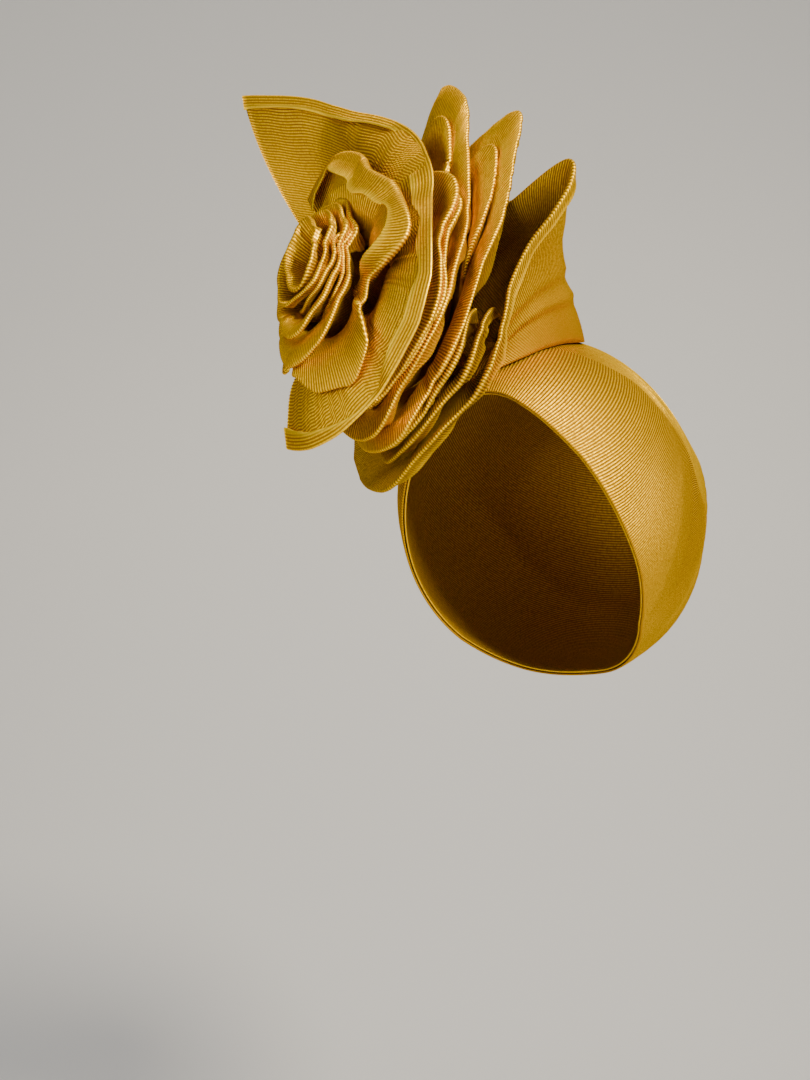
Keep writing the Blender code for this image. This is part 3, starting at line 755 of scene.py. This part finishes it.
def turn_over(middle, ring, radius, turned, side, flare):
    """Carries a sheet on over its lip: a half round, then down by the turned length, per column."""
    normal = side * sheet_normals(middle, ring)[:, -1][:, None]
    tip = unit(middle[:, -1] - middle[:, -2])[:, None]
    bend = np.linspace(0, pi, TURN_STEPS + 1)[1:][None, :, None]
    radius, turned, flare = radius[:, None, None], turned[:, None, None], flare[:, None, None]
    arc = middle[:, -1:] + radius * ((1 - np.cos(bend)) * normal + np.sin(bend) * tip)
    share = np.linspace(0, 1, DROP_STEPS + 1)[1:][None, :, None]
    hang = arc[:, -1:] - turned * share * tip + flare * turned * share ** FLARE_BEND * normal
    return np.concatenate([middle, arc, hang], axis=1)


def finish_piece(piece, node, slot):
    """Material of its slot, ride, and hiding of the frame's sheet that the piece was cut from."""
    piece.data.materials.append(cloth_material(slot))
    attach(piece, "root")
    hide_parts(node)


def rib_columns(run):
    """Number of columns for a length across the ribs, and the length of that many whole ribs."""
    sizes = bpy.context.scene.gele_sizes
    ribs = int(round(run / sizes.rib_pitch))
    return ribs * sizes.columns_per_rib + 1, ribs * sizes.rib_pitch


def pleats(name, turns, share):
    """Steps of the pleats laid over one another, in mm: sharp on one side, fading on the other."""
    total = np.zeros_like(share)
    for sheet, root, lip, height in CREASES:
        if sheet == name:
            past = turns[:, None] - radians(root) - radians(lip - root) * share
            fade = np.exp(-np.maximum(past, 0) / CREASE_REACH)
            edge = max(CREASE_EDGE, CREASE_ROWS * abs(radians(lip - root)) / share.shape[1])
            fade = fade * (1 - CREASE_FADE * smooth_step(share, CREASE_FADE_START, 1.0))
            total = total + height * smooth_step(past, 0, edge) * fade
    return total


def add_folds(middle, turns, share, ring, name):
    """Moves a sheet along its normals: shared folds, its own folds, fine creases, a curled lip."""
    fold, count, lean, curl, seed = FINISH[name][4:]
    x = turns[:, None] / (2 * pi)
    strength = smooth_step(share, FOLD_START, 1.0)
    broad = 0.5 * fold * cusps(x + lean * share, count, seed)
    spot = middle - ROSE_BASE
    away = np.linalg.norm(spot - (spot @ ROSE_OUT)[..., None] * ROSE_OUT, axis=-1)
    out = np.linalg.norm(spot, axis=-1) / SHARED_REACH
    shared = SHARED_DEPTH * cusps(x + SHARED_LEAN * out, SHARED_COUNT, SHARED_SEED)
    shared = shared * np.clip(away / SHARED_RADIUS, 0, 1) ** 2 * smooth_step(out, FOLD_START, 1.0)
    rough = np.clip(waves(x + lean * share, CREASE_PATCHES, seed + 1), 0, 1)
    fine = waves(x + CREASE_LEAN * lean * share, CREASES_PER_FOLD * count, seed + 2)
    fine = CREASE_DEPTH * rough * fine
    lip = curl * smooth_step(share, CURL_START, 1.0) ** 2
    foot = smooth_step(share, 0.0, FOOT_FREE)
    move = ((broad + fine) * strength + shared + lip + pleats(name, turns, share) * foot) / 1000
    return middle + sheet_normals(middle, ring) * move[..., None]


def rose_sheet(name, node, rows, place):
    """Sheet of the rose from its lip rows and the function that places its points."""
    finish = FINISH[name]
    ring = is_ring(rows)
    run = even_turns(rows, 10)[1]
    if name == RIBS_ALONG:
        columns, up_rows = ALONG_COLUMNS, rib_columns(ALONG_HEIGHT)[0]
    else:
        columns, run = rib_columns(run)
        up_rows = SWATHE_ROWS if name == "wrap_swathe" else ACROSS_ROWS
    turns = even_turns(rows, columns)[0]
    share = np.linspace(0, 1, up_rows) ** ROW_SPACING
    held, up = np.meshgrid(turns, share, indexing="ij")
    around = turns / (2 * pi)
    wander = bpy.context.scene.gele_sizes.lip_wave * finish.fold / 3 / ROSE_DEPTH
    wander = wander * cusps(held / (2 * pi), finish.count, finish.seed + 3)
    middle = add_folds(place(held, up * (1 + wander)), turns, up, ring, name)
    length = TURN_MEAN + TURN_SWING * waves(around, finish.count + 2, finish.seed + 4)
    length = np.maximum(finish.turned / 1000 * length, SHORTEST_TURN)
    flare = finish.stand * (1 + FLARE_SWING * waves(around, finish.count + 1, finish.seed + 5))
    roll = finish.radius / 1000 * (1 + ROLL_SWING * waves(around, finish.count + 2, finish.seed + 6))
    middle = turn_over(middle, ring, roll, length, finish.side, flare)
    height = run_along(middle, 1)
    along = np.repeat(np.linspace(0, run, columns)[:, None], middle.shape[1], axis=1)
    # The turned-over length takes a little painted fold shade towards its end
    over = np.concatenate([np.ones(TURN_STEPS), np.linspace(1, 0.8, DROP_STEPS)])
    depth = np.concatenate([up, np.tile(over, (columns, 1))], axis=1)
    past_crest = height - height[:, up_rows + TURN_STEPS // 2][:, None]
    # Pale lines: the cloth's selvage at the cut end, and a painted highlight along the folded crest
    edge = np.exp(-((height[:, -1:] - height) / SELVAGE_WIDTH) ** 2)
    edge = np.maximum(edge, FOLD_HIGHLIGHT[1] * np.exp(-(past_crest / FOLD_HIGHLIGHT[0]) ** 2))
    rib_share = 1 - LIP_RIBS * np.exp(-(past_crest / LIP_PRESSED) ** 2)
    rib_x, rib_y = (past_crest, along) if name == RIBS_ALONG else (along, height)
    piece = cloth_mesh(name, middle, ring, rib_x, rib_y, depth, edge, rib_share)
    slot = "wrap_cloth" if node == "wrap_swathe" else "petal_cloth"
    finish_piece(piece, node, slot)


def ply_rows(ply):
    """Lip rows of a ply between its two sheets: angle, radius and reach, lower at both ends."""
    lips = {"wrap_swathe": SWATHE, **{petal.name: petal.lip for petal in PETALS}}
    rows = []
    for angle in np.linspace(ply.first, ply.last, PLY_ROWS):
        end = sin(pi * np.clip((angle - ply.first) / (ply.last - ply.first), 0.02, 0.98)) ** 0.4
        distance, tilt = lip_at(lips[ply.outer], radians(angle))
        in_distance, in_tilt = lip_at(lips[ply.inner], radians(angle))
        distance = distance + (in_distance - distance) * ply.share + ply.rise / 1000
        distance = distance * (PLY_ENDS + (1 - PLY_ENDS) * end)
        tilt = tilt + (in_tilt - tilt) * ply.share
        radius, reach = distance * sin(tilt), distance * cos(tilt)
        rows.append((angle, 100 * radius / ROSE_RADIUS, 100 * reach / ROSE_DEPTH))
    return tuple(rows)


def ply_place(ply, rows, tilts):
    """Function that places a ply's points between its two sheets."""
    outer, inner = tilts[ply.outer], tilts[ply.inner]
    middle = outer + (np.minimum(inner, outer) - outer) * ply.share

    def place(held, up):
        distance = lip_at(rows, held)[0] * (PLY_ROOT + (1 - PLY_ROOT) * up)
        widest = cap_tilt(held, distance) - PLY_CLEARANCE / distance
        tilt = np.minimum(read_grid(middle, held, distance), widest)
        if ply.outer in INSIDE_FAN:
            tilt = drawn_in(held, distance, tilt)
        return rose_point(held, distance, tilt)

    return place


def petal_place(petal, tilts):
    first, last = radians(petal.lip[0][0]), radians(petal.lip[-1][0])

    def place(held, up):
        across = (held - first) / (last - first)
        angle = held + radians(petal.sweep) * (1 - up) * across ** 3
        root_distance = root_at(petal, held)[0]
        distance = root_distance + (lip_at(petal.lip, held)[0] - root_distance) * up
        tilt = read_grid(tilts, angle, distance)
        if petal.name in INSIDE_FAN:
            tilt = drawn_in(angle, distance, tilt)
        return rose_point(angle, distance, tilt)

    return place


def swathe_place(held, up):
    return rose_point(held, *swathe_wall(held, up))


def heart_place(held, up):
    lip_distance, lip_tilt = lip_at(HEART, held)
    foot = heart_foot(held)
    reach = foot + (lip_distance * np.cos(lip_tilt) - foot) * up ** HEART_SPREAD
    return rose_point(held, *polar(heart_radius(held, reach), reach))


# Noise of the weave: scale across the ribs, scale along them, detail. The flecks paint glints into the
# crests' colour and vary the roughness, the patches vary the painted fold shade and the roughness, and
# the threads go into the bump
FLECKS = (420, 700, 3)
PATCHES = (45, 45, 4)
THREADS = (3000, 500, 2)

# Painted light of the ribs: the colour runs from the painted shade of the valleys to the gold of the
# crests, by the power of the crest's wave, the gain of the flecks and what is taken off
CREST_POWER = 1.4
FLECK_LIGHT = (2.6, -0.35)

# Painted shade with a painted orange glow deep in the folds: power of the tone, gain of the patches and
# what is added.
# Share of the selvage and highlight colour on a pale line: the cloth's own selvage at a cut edge, a
# painted highlight at a fold.
DEPTH_POWER = 0.8
DEPTH_PATCHES = (0.8, 0.5)
SELVAGE_AND_HIGHLIGHT_SHARE = 0.75

# What flecks and patches change of the roughness, metallic of the crests over the valleys' and of
# the valleys, heights of crests and threads, strength and distance of the bump made of them
FLECK_ROUGHNESS = -0.36
PATCH_ROUGHNESS = 0.10
METALLIC = (0.15, 0.83)
RELIEF = (0.6, 0.5)
BUMP = {"Strength": 0.6, "Distance": 0.0004}

# Cloth of the wrap and of the petals: roughness, share of the gold and share of the valley shade's
# colour. The wrap's lower shares are mostly painted shade, holding the band down under the key light and
# deepening its rib valleys; a little is the wrap cloth's own darker tone.
CLOTHS = {"wrap_cloth": (0.70, 0.76, 0.50), "petal_cloth": (0.60, 1, 1)}


def weave_group():
    """Shader node group of the ribbed weave, from the place across and along the ribs in metres."""
    group = bpy.data.node_groups.get("ribbed_weave")
    if group:
        return group
    group = bpy.data.node_groups.new("ribbed_weave", "ShaderNodeTree")
    for names, way, kind in (
            (("Rib Pitch", "Base Roughness"), "INPUT", "NodeSocketFloat"),
            (("Crest", "Ground", "Deep", "Selvage"), "INPUT", "NodeSocketColor"),
            (("Color",), "OUTPUT", "NodeSocketColor"),
            (("Roughness", "Metallic", "Height"), "OUTPUT", "NodeSocketFloat")):
        for name in names:
            group.interface.new_socket(name, in_out=way, socket_type=kind)
    nodes, links = group.nodes, group.links
    enter = nodes.new("NodeGroupInput")
    leave = nodes.new("NodeGroupOutput")

    def maths(operation, a, b=None, c=None):
        node = nodes.new("ShaderNodeMath")
        node.operation = operation
        for slot, value in enumerate((a, b, c)):
            if value is None:
                continue
            if isinstance(value, (int, float)):
                node.inputs[slot].default_value = value
            else:
                links.new(value, node.inputs[slot])
        return node.outputs[0]

    def blend(share, a, b):
        node = nodes.new("ShaderNodeMix")
        node.data_type = "RGBA"
        links.new(share, node.inputs["Factor"])
        links.new(a, node.inputs["A"])
        links.new(b, node.inputs["B"])
        return node.outputs["Result"]

    def noise(scale_x, scale_y, detail, source):
        stretch = nodes.new("ShaderNodeMapping")
        stretch.inputs["Scale"].default_value = (scale_x, scale_y, 1)
        links.new(source, stretch.inputs["Vector"])
        node = nodes.new("ShaderNodeTexNoise")
        node.inputs["Scale"].default_value = 1
        node.inputs["Detail"].default_value = detail
        links.new(stretch.outputs[0], node.inputs["Vector"])
        return node.outputs["Fac"]

    place = nodes.new("ShaderNodeUVMap")
    place.uv_map = "cloth"
    split = nodes.new("ShaderNodeSeparateXYZ")
    links.new(place.outputs[0], split.inputs[0])
    tone = nodes.new("ShaderNodeAttribute")
    tone.attribute_name = "tone"
    tones = nodes.new("ShaderNodeSeparateColor")
    links.new(tone.outputs["Color"], tones.inputs[0])
    phase = maths("DIVIDE", split.outputs[0], enter.outputs["Rib Pitch"])
    wave = maths("COSINE", maths("MULTIPLY", phase, 2 * pi))
    crest = maths("MULTIPLY_ADD", wave, 0.5, 0.5)
    glint_flecks = noise(*FLECKS, place.outputs[0])
    patches = noise(*PATCHES, place.outputs[0])
    threads = noise(*THREADS, place.outputs[0])
    # Painted light of the ribs: from the painted shade of the valleys up to the crests' gold, with
    # painted glints from the flecks
    lit = maths("MULTIPLY_ADD", glint_flecks, *FLECK_LIGHT)
    lit = maths("MULTIPLY", maths("POWER", crest, CREST_POWER), lit)
    lit = maths("MINIMUM", maths("MAXIMUM", lit, 0.0), 1.0)
    colour = blend(lit, enter.outputs["Ground"], enter.outputs["Crest"])
    # Painted shade and glow towards the roots of the folds, varied by the patches
    inward = maths("SUBTRACT", 1.0, maths("POWER", tones.outputs[0], DEPTH_POWER))
    fold_shade = maths("MULTIPLY", inward, maths("MULTIPLY_ADD", patches, *DEPTH_PATCHES))
    colour = blend(maths("MINIMUM", fold_shade, 1.0), colour, enter.outputs["Deep"])
    # Pale lines: the cloth's selvage, and painted highlights on the folds
    colour = blend(maths("MULTIPLY", tones.outputs[1], SELVAGE_AND_HIGHLIGHT_SHARE), colour, enter.outputs["Selvage"])
    rough = maths("MULTIPLY_ADD", glint_flecks, FLECK_ROUGHNESS, enter.outputs["Base Roughness"])
    rough = maths("ADD", rough, maths("MULTIPLY", patches, PATCH_ROUGHNESS))
    metal = maths("MULTIPLY_ADD", crest, *METALLIC)
    height = maths("ADD", maths("MULTIPLY", crest, RELIEF[0]), maths("MULTIPLY", threads, RELIEF[1]))
    for name, value in (("Color", colour), ("Roughness", rough), ("Metallic", metal), ("Height", height)):
        links.new(value, leave.inputs[name])
    return group


def new_material(name):
    """Material with its nodes, links and shader."""
    material = bpy.data.materials.new(name)
    material.use_nodes = True
    nodes = material.node_tree.nodes
    return material, nodes, material.node_tree.links, nodes["Principled BSDF"]


def cloth_material(slot):
    colours = bpy.context.scene.gele_colours
    material, nodes, links, shader = new_material("gold_cloth")
    roughness, gold_shade_share, ground_shade_share = CLOTHS[slot]
    weave = nodes.new("ShaderNodeGroup")
    weave.node_tree = weave_group()
    weave.inputs["Rib Pitch"].default_value = bpy.context.scene.gele_sizes.rib_pitch
    weave.inputs["Base Roughness"].default_value = roughness
    for name, share, colour in (
            ("Crest", gold_shade_share, colours.gold), ("Ground", ground_shade_share, colours.shade_gold),
            ("Deep", 1, colours.fold_shade_gold), ("Selvage", 1, colours.selvage_and_highlight)):
        weave.inputs[name].default_value = (*[share * c for c in colour], 1)
    bump = nodes.new("ShaderNodeBump")
    for name, value in BUMP.items():
        bump.inputs[name].default_value = value
    links.new(weave.outputs["Height"], bump.inputs["Height"])
    links.new(weave.outputs["Color"], shader.inputs["Base Color"])
    for name in ("Roughness", "Metallic"):
        links.new(weave.outputs[name], shader.inputs[name])
    links.new(bump.outputs["Normal"], shader.inputs["Normal"])
    shader.inputs["Specular Tint"].default_value = (*colours.gold, 1)
    return material


class GeleStep:
    bl_options = {"REGISTER", "UNDO"}


class GELE_OT_crown_cap(GeleStep, bpy.types.Operator):
    """Dome of ribbed cloth over the crown"""

    bl_idname = "gele.crown_cap"
    bl_label = "Crown cap"

    def execute(self, context):
        around, up = np.meshgrid(np.linspace(-pi, pi, CAP_COLUMNS), CAP_ROWS, indexing="ij")
        rim = rim_elevation(around)
        brow = band_elevation(around)
        under = rim + (brow - rim) * np.minimum(up, 1)
        elevation = np.where(up <= 1, under, brow + (pi / 2 - brow) * (up - 1))
        behind = -np.cos(around) * np.cos(elevation) * HEAD_BACK
        back = np.clip((behind - FULLNESS_START) / FULLNESS_RUN, 0, 1)
        full = CROWN_FULLNESS * back * np.sin(pi * np.clip(up - 1, 0, 1)) ** FULLNESS_SHAPE
        middle = head_point(around, elevation, full + CLOTH_WALL / 2)
        # The cap takes an even share of painted fold shade
        piece = cloth_mesh(
            "crown_cap", middle, True, run_along(middle, 1), around * HEAD_SIDE,
            np.full(up.shape, CAP_TONE), np.zeros(up.shape), 0.0)
        finish_piece(piece, "crown_cap", "wrap_cloth")
        return {"FINISHED"}


class GELE_OT_head_band(GeleStep, bpy.types.Operator):
    """Wide band round the cap, with its ribs running across it"""

    bl_idname = "gele.head_band"
    bl_label = "Head band"

    def execute(self, context):
        even = np.linspace(-pi, pi, BAND_STEPS)
        middle_line = head_point(even, (rim_elevation(even) + band_elevation(even)) / 2, 0)
        run = run_along(middle_line, 0)
        columns, across = rib_columns(run[-1] / BAND_PITCH)
        turns = np.interp(np.linspace(0, run[-1], columns), run, even)
        start, up = np.meshgrid(turns, BAND_ROWS, indexing="ij")
        slant = np.sign(start) * np.radians(eased(np.abs(np.degrees(start)), BAND_SLANT))
        around = start + slant * (up - MITRE_TURN * np.maximum(up - MITRE_START, 0))
        rim = rim_elevation(around)
        elevation = rim + (band_elevation(around) - rim) * up
        ripple = waves(start / (2 * pi) + RIPPLE_LEAN * up, RIPPLE_COUNT, RIPPLE_SEED) * np.sin(pi * up)
        fold = 0
        for turn, lean, height in BAND_FOLDS:
            aside = (np.degrees(around) - turn - lean * up) / BAND_FOLD_SPREAD
            fold = fold + height * np.exp(-aside ** 2) * smooth_step(up, 0, BAND_FOLD_FULL)
        off = CLOTH_WALL + LAYER_GAP + CLOTH_WALL / 2 + BAND_RIPPLE * ripple + fold
        middle = head_point(around, elevation, off)
        along = np.linspace(0, across, columns)[:, None] + 0 * up
        height = run_along(middle, 1)
        # Painted highlight along the band's upper edge, and painted shade over the band, deepest at its
        # rim
        edge = BAND_HIGHLIGHT[1] * np.exp(-((height - height[:, -1:]) / BAND_HIGHLIGHT[0]) ** 2)
        shade_tone = BAND_TONE - RIM_SHADE * np.exp(-(height / RIM_WIDTH) ** 2)
        piece = cloth_mesh("head_band", middle, True, along, height, shade_tone, edge)
        finish_piece(piece, "head_band", "wrap_cloth")
        return {"FINISHED"}


class GELE_OT_wrap_swathe(GeleStep, bpy.types.Operator):
    """Outer wrap that stands on the band and carries the rose's outermost lip"""

    bl_idname = "gele.wrap_swathe"
    bl_label = "Wrap swathe"

    def execute(self, context):
        rose_sheet("wrap_swathe", "wrap_swathe", SWATHE, swathe_place)
        return {"FINISHED"}


class GELE_OT_heart_roll(GeleStep, bpy.types.Operator):
    """Roll of cloth at the middle of the rose"""

    bl_idname = "gele.heart_roll"
    bl_label = "Heart roll"

    def execute(self, context):
        rose_sheet("heart_roll", "heart_roll", HEART, heart_place)
        return {"FINISHED"}


class GELE_OT_petals(GeleStep, bpy.types.Operator):
    """Petals, folds and pleats of the rose, from the outermost in"""

    bl_idname = "gele.petals"
    bl_label = "Rose petals"

    def execute(self, context):
        tilts = layer_tilts()
        for petal in PETALS:
            node = NODES.get(petal.name, petal.name)
            place = petal_place(petal, tilts[petal.name])
            rose_sheet(petal.name, node, petal.lip, place)
        for ply in PLIES:
            rows = ply_rows(ply)
            node = NODES.get(ply.name, ply.outer)
            rose_sheet(ply.name, node, rows, ply_place(ply, rows, tilts))
        return {"FINISHED"}


# Camera: turned and raised angles of the view, distance from the origin, and how far the origin
# lies from the middle of the picture.
VIEW_TURN = radians(30)
VIEW_LIFT = radians(-12)
VIEW_DISTANCE = 0.810
VIEW_RIGHT = 0.084
VIEW_UP = 0.0257
LENS_MM = 45
SENSOR_MM = 36

# Lights: name, its power's property, place to the right, up and back of the head tie's middle in
# metres, size of its disk, tint
LIGHTS = (
    ("key_light", "key_power", 0.55, 0.60, 0.85, 0.30, (1.0, 0.90, 0.72)),
    ("fill_light", "fill_power", -0.9, 0.1, 0.9, 1.0, (1.0, 0.95, 0.88)),
    ("top_light", "fill_power", -0.3, 1.1, -0.5, 0.8, (1.0, 0.95, 0.88)),
)
AIR_COLOUR = (0.86, 0.88, 0.92, 1)
AIR_STRENGTH = 0.36

# Floor, in metres: its near end, where it bends up, radius of the bend, height, half the width
FLOOR_NEAR = -3.0
FLOOR_BEND = 0.8
BEND_RADIUS = 0.9
BEND_STEPS = 16
FLOOR_TOP = 4.0
FLOOR_SIDE = 6.0
FLOOR_MOTTLE = 0.93
FLOOR_ROUGHNESS = 0.8


def view_axes():
    right = Vector((cos(VIEW_TURN), sin(VIEW_TURN), 0))
    back = Vector((sin(VIEW_TURN) * cos(VIEW_LIFT), -cos(VIEW_TURN) * cos(VIEW_LIFT), sin(VIEW_LIFT)))
    return right, back.cross(right), back


class GELE_OT_stage(GeleStep, bpy.types.Operator):
    """Pale floor, soft lights and the camera"""

    bl_idname = "gele.stage"
    bl_label = "Floor, lights and camera"

    def execute(self, context):
        studio = context.scene.gele_studio
        add_floor(studio)
        right, up, back = view_axes()
        middle = (CAD_LOW + CAD_HIGH) / 2
        for name, power, to_right, to_up, to_back, size, tint in LIGHTS:
            spot = middle + to_right * right + to_up * up + to_back * back
            add_light(name, spot, middle, size, getattr(studio, power), tint)
        add_world()
        camera = bpy.data.cameras.new("camera")
        camera.sensor_fit = "VERTICAL"
        camera.sensor_height = SENSOR_MM
        camera.lens = LENS_MM
        holder = add_object("camera", camera)
        spot = VIEW_DISTANCE * back - VIEW_RIGHT * right - VIEW_UP * up
        turn = Matrix((right, up, back)).transposed().to_4x4()
        holder.matrix_world = Matrix.Translation(spot) @ turn
        context.scene.camera = holder
        return {"FINISHED"}


def add_floor(studio):
    """Pale floor that curves up at its far end."""
    level = CAD_LOW.z - studio.floor_drop
    profile = [(FLOOR_NEAR, 0.0), (FLOOR_BEND, 0.0)]
    for k in range(1, BEND_STEPS + 1):
        angle = pi / 2 * k / BEND_STEPS
        profile.append((FLOOR_BEND + BEND_RADIUS * sin(angle), BEND_RADIUS * (1 - cos(angle))))
    profile.append((FLOOR_BEND + BEND_RADIUS, FLOOR_TOP))
    count = len(profile)
    points = [(x, y, level + z) for x in (-FLOOR_SIDE, FLOOR_SIDE) for y, z in profile]
    faces = [(k, count + k, count + k + 1, k + 1) for k in range(count - 1)]
    mesh = bpy.data.meshes.new("studio_floor")
    mesh.from_pydata(points, [], faces)
    mesh.shade_smooth()
    floor = add_object("studio_floor", mesh)
    floor.rotation_euler.z = VIEW_TURN
    material, nodes, links, shader = new_material("pale_floor")
    mottle = nodes.new("ShaderNodeTexNoise")
    mottle.inputs["Scale"].default_value = 3
    tint = nodes.new("ShaderNodeMix")
    tint.data_type = "RGBA"
    tint.inputs["A"].default_value = (*studio.floor_colour, 1)
    tint.inputs["B"].default_value = (*[FLOOR_MOTTLE * c for c in studio.floor_colour], 1)
    links.new(mottle.outputs["Fac"], tint.inputs["Factor"])
    links.new(tint.outputs["Result"], shader.inputs["Base Color"])
    shader.inputs["Roughness"].default_value = FLOOR_ROUGHNESS
    mesh.materials.append(material)


def add_light(name, spot, target, size, power, tint):
    light = bpy.data.lights.new(name, "AREA")
    light.shape = "DISK"
    light.size = size
    light.energy = power
    light.color = tint
    holder = add_object(name, light)
    holder.location = spot
    holder.rotation_mode = "QUATERNION"
    holder.rotation_quaternion = (target - spot).to_track_quat("-Z", "Y")


def add_world():
    world = bpy.data.worlds.new("studio_air")
    world.use_nodes = True
    air = world.node_tree.nodes["Background"]
    air.inputs["Color"].default_value = AIR_COLOUR
    air.inputs["Strength"].default_value = AIR_STRENGTH
    bpy.context.scene.world = world


class GELE_PT_sidebar(bpy.types.Panel):
    """Steps and sizes of the head tie"""

    bl_idname = "GELE_PT_sidebar"
    bl_label = "Gele head tie"
    bl_space_type = "VIEW_3D"
    bl_region_type = "UI"
    bl_category = "Gele"

    def draw(self, context):
        for step in STEPS:
            self.layout.operator(step.bl_idname)
        for group in (context.scene.gele_sizes, context.scene.gele_colours, context.scene.gele_studio):
            box = self.layout.box()
            for name in group.__annotations__:
                box.prop(group, name)


STEPS = (
    GELE_OT_crown_cap, GELE_OT_head_band, GELE_OT_wrap_swathe, GELE_OT_heart_roll, GELE_OT_petals,
    GELE_OT_stage,
)
GROUPS = (GeleSizes, GeleColours, GeleStudio)


def register():
    for kind in (*GROUPS, *STEPS, GELE_PT_sidebar):
        bpy.utils.register_class(kind)
    bpy.types.Scene.gele_sizes = bpy.props.PointerProperty(type=GeleSizes)
    bpy.types.Scene.gele_colours = bpy.props.PointerProperty(type=GeleColours)
    bpy.types.Scene.gele_studio = bpy.props.PointerProperty(type=GeleStudio)


def unregister():
    del bpy.types.Scene.gele_studio
    del bpy.types.Scene.gele_colours
    del bpy.types.Scene.gele_sizes
    for kind in (GELE_PT_sidebar, *reversed(STEPS), *reversed(GROUPS)):
        bpy.utils.unregister_class(kind)


def main():
    register()
    bpy.ops.gele.crown_cap()
    bpy.ops.gele.head_band()
    bpy.ops.gele.wrap_swathe()
    bpy.ops.gele.heart_roll()
    bpy.ops.gele.petals()
    bpy.ops.gele.stage()


if __name__ == "__main__":
    main()
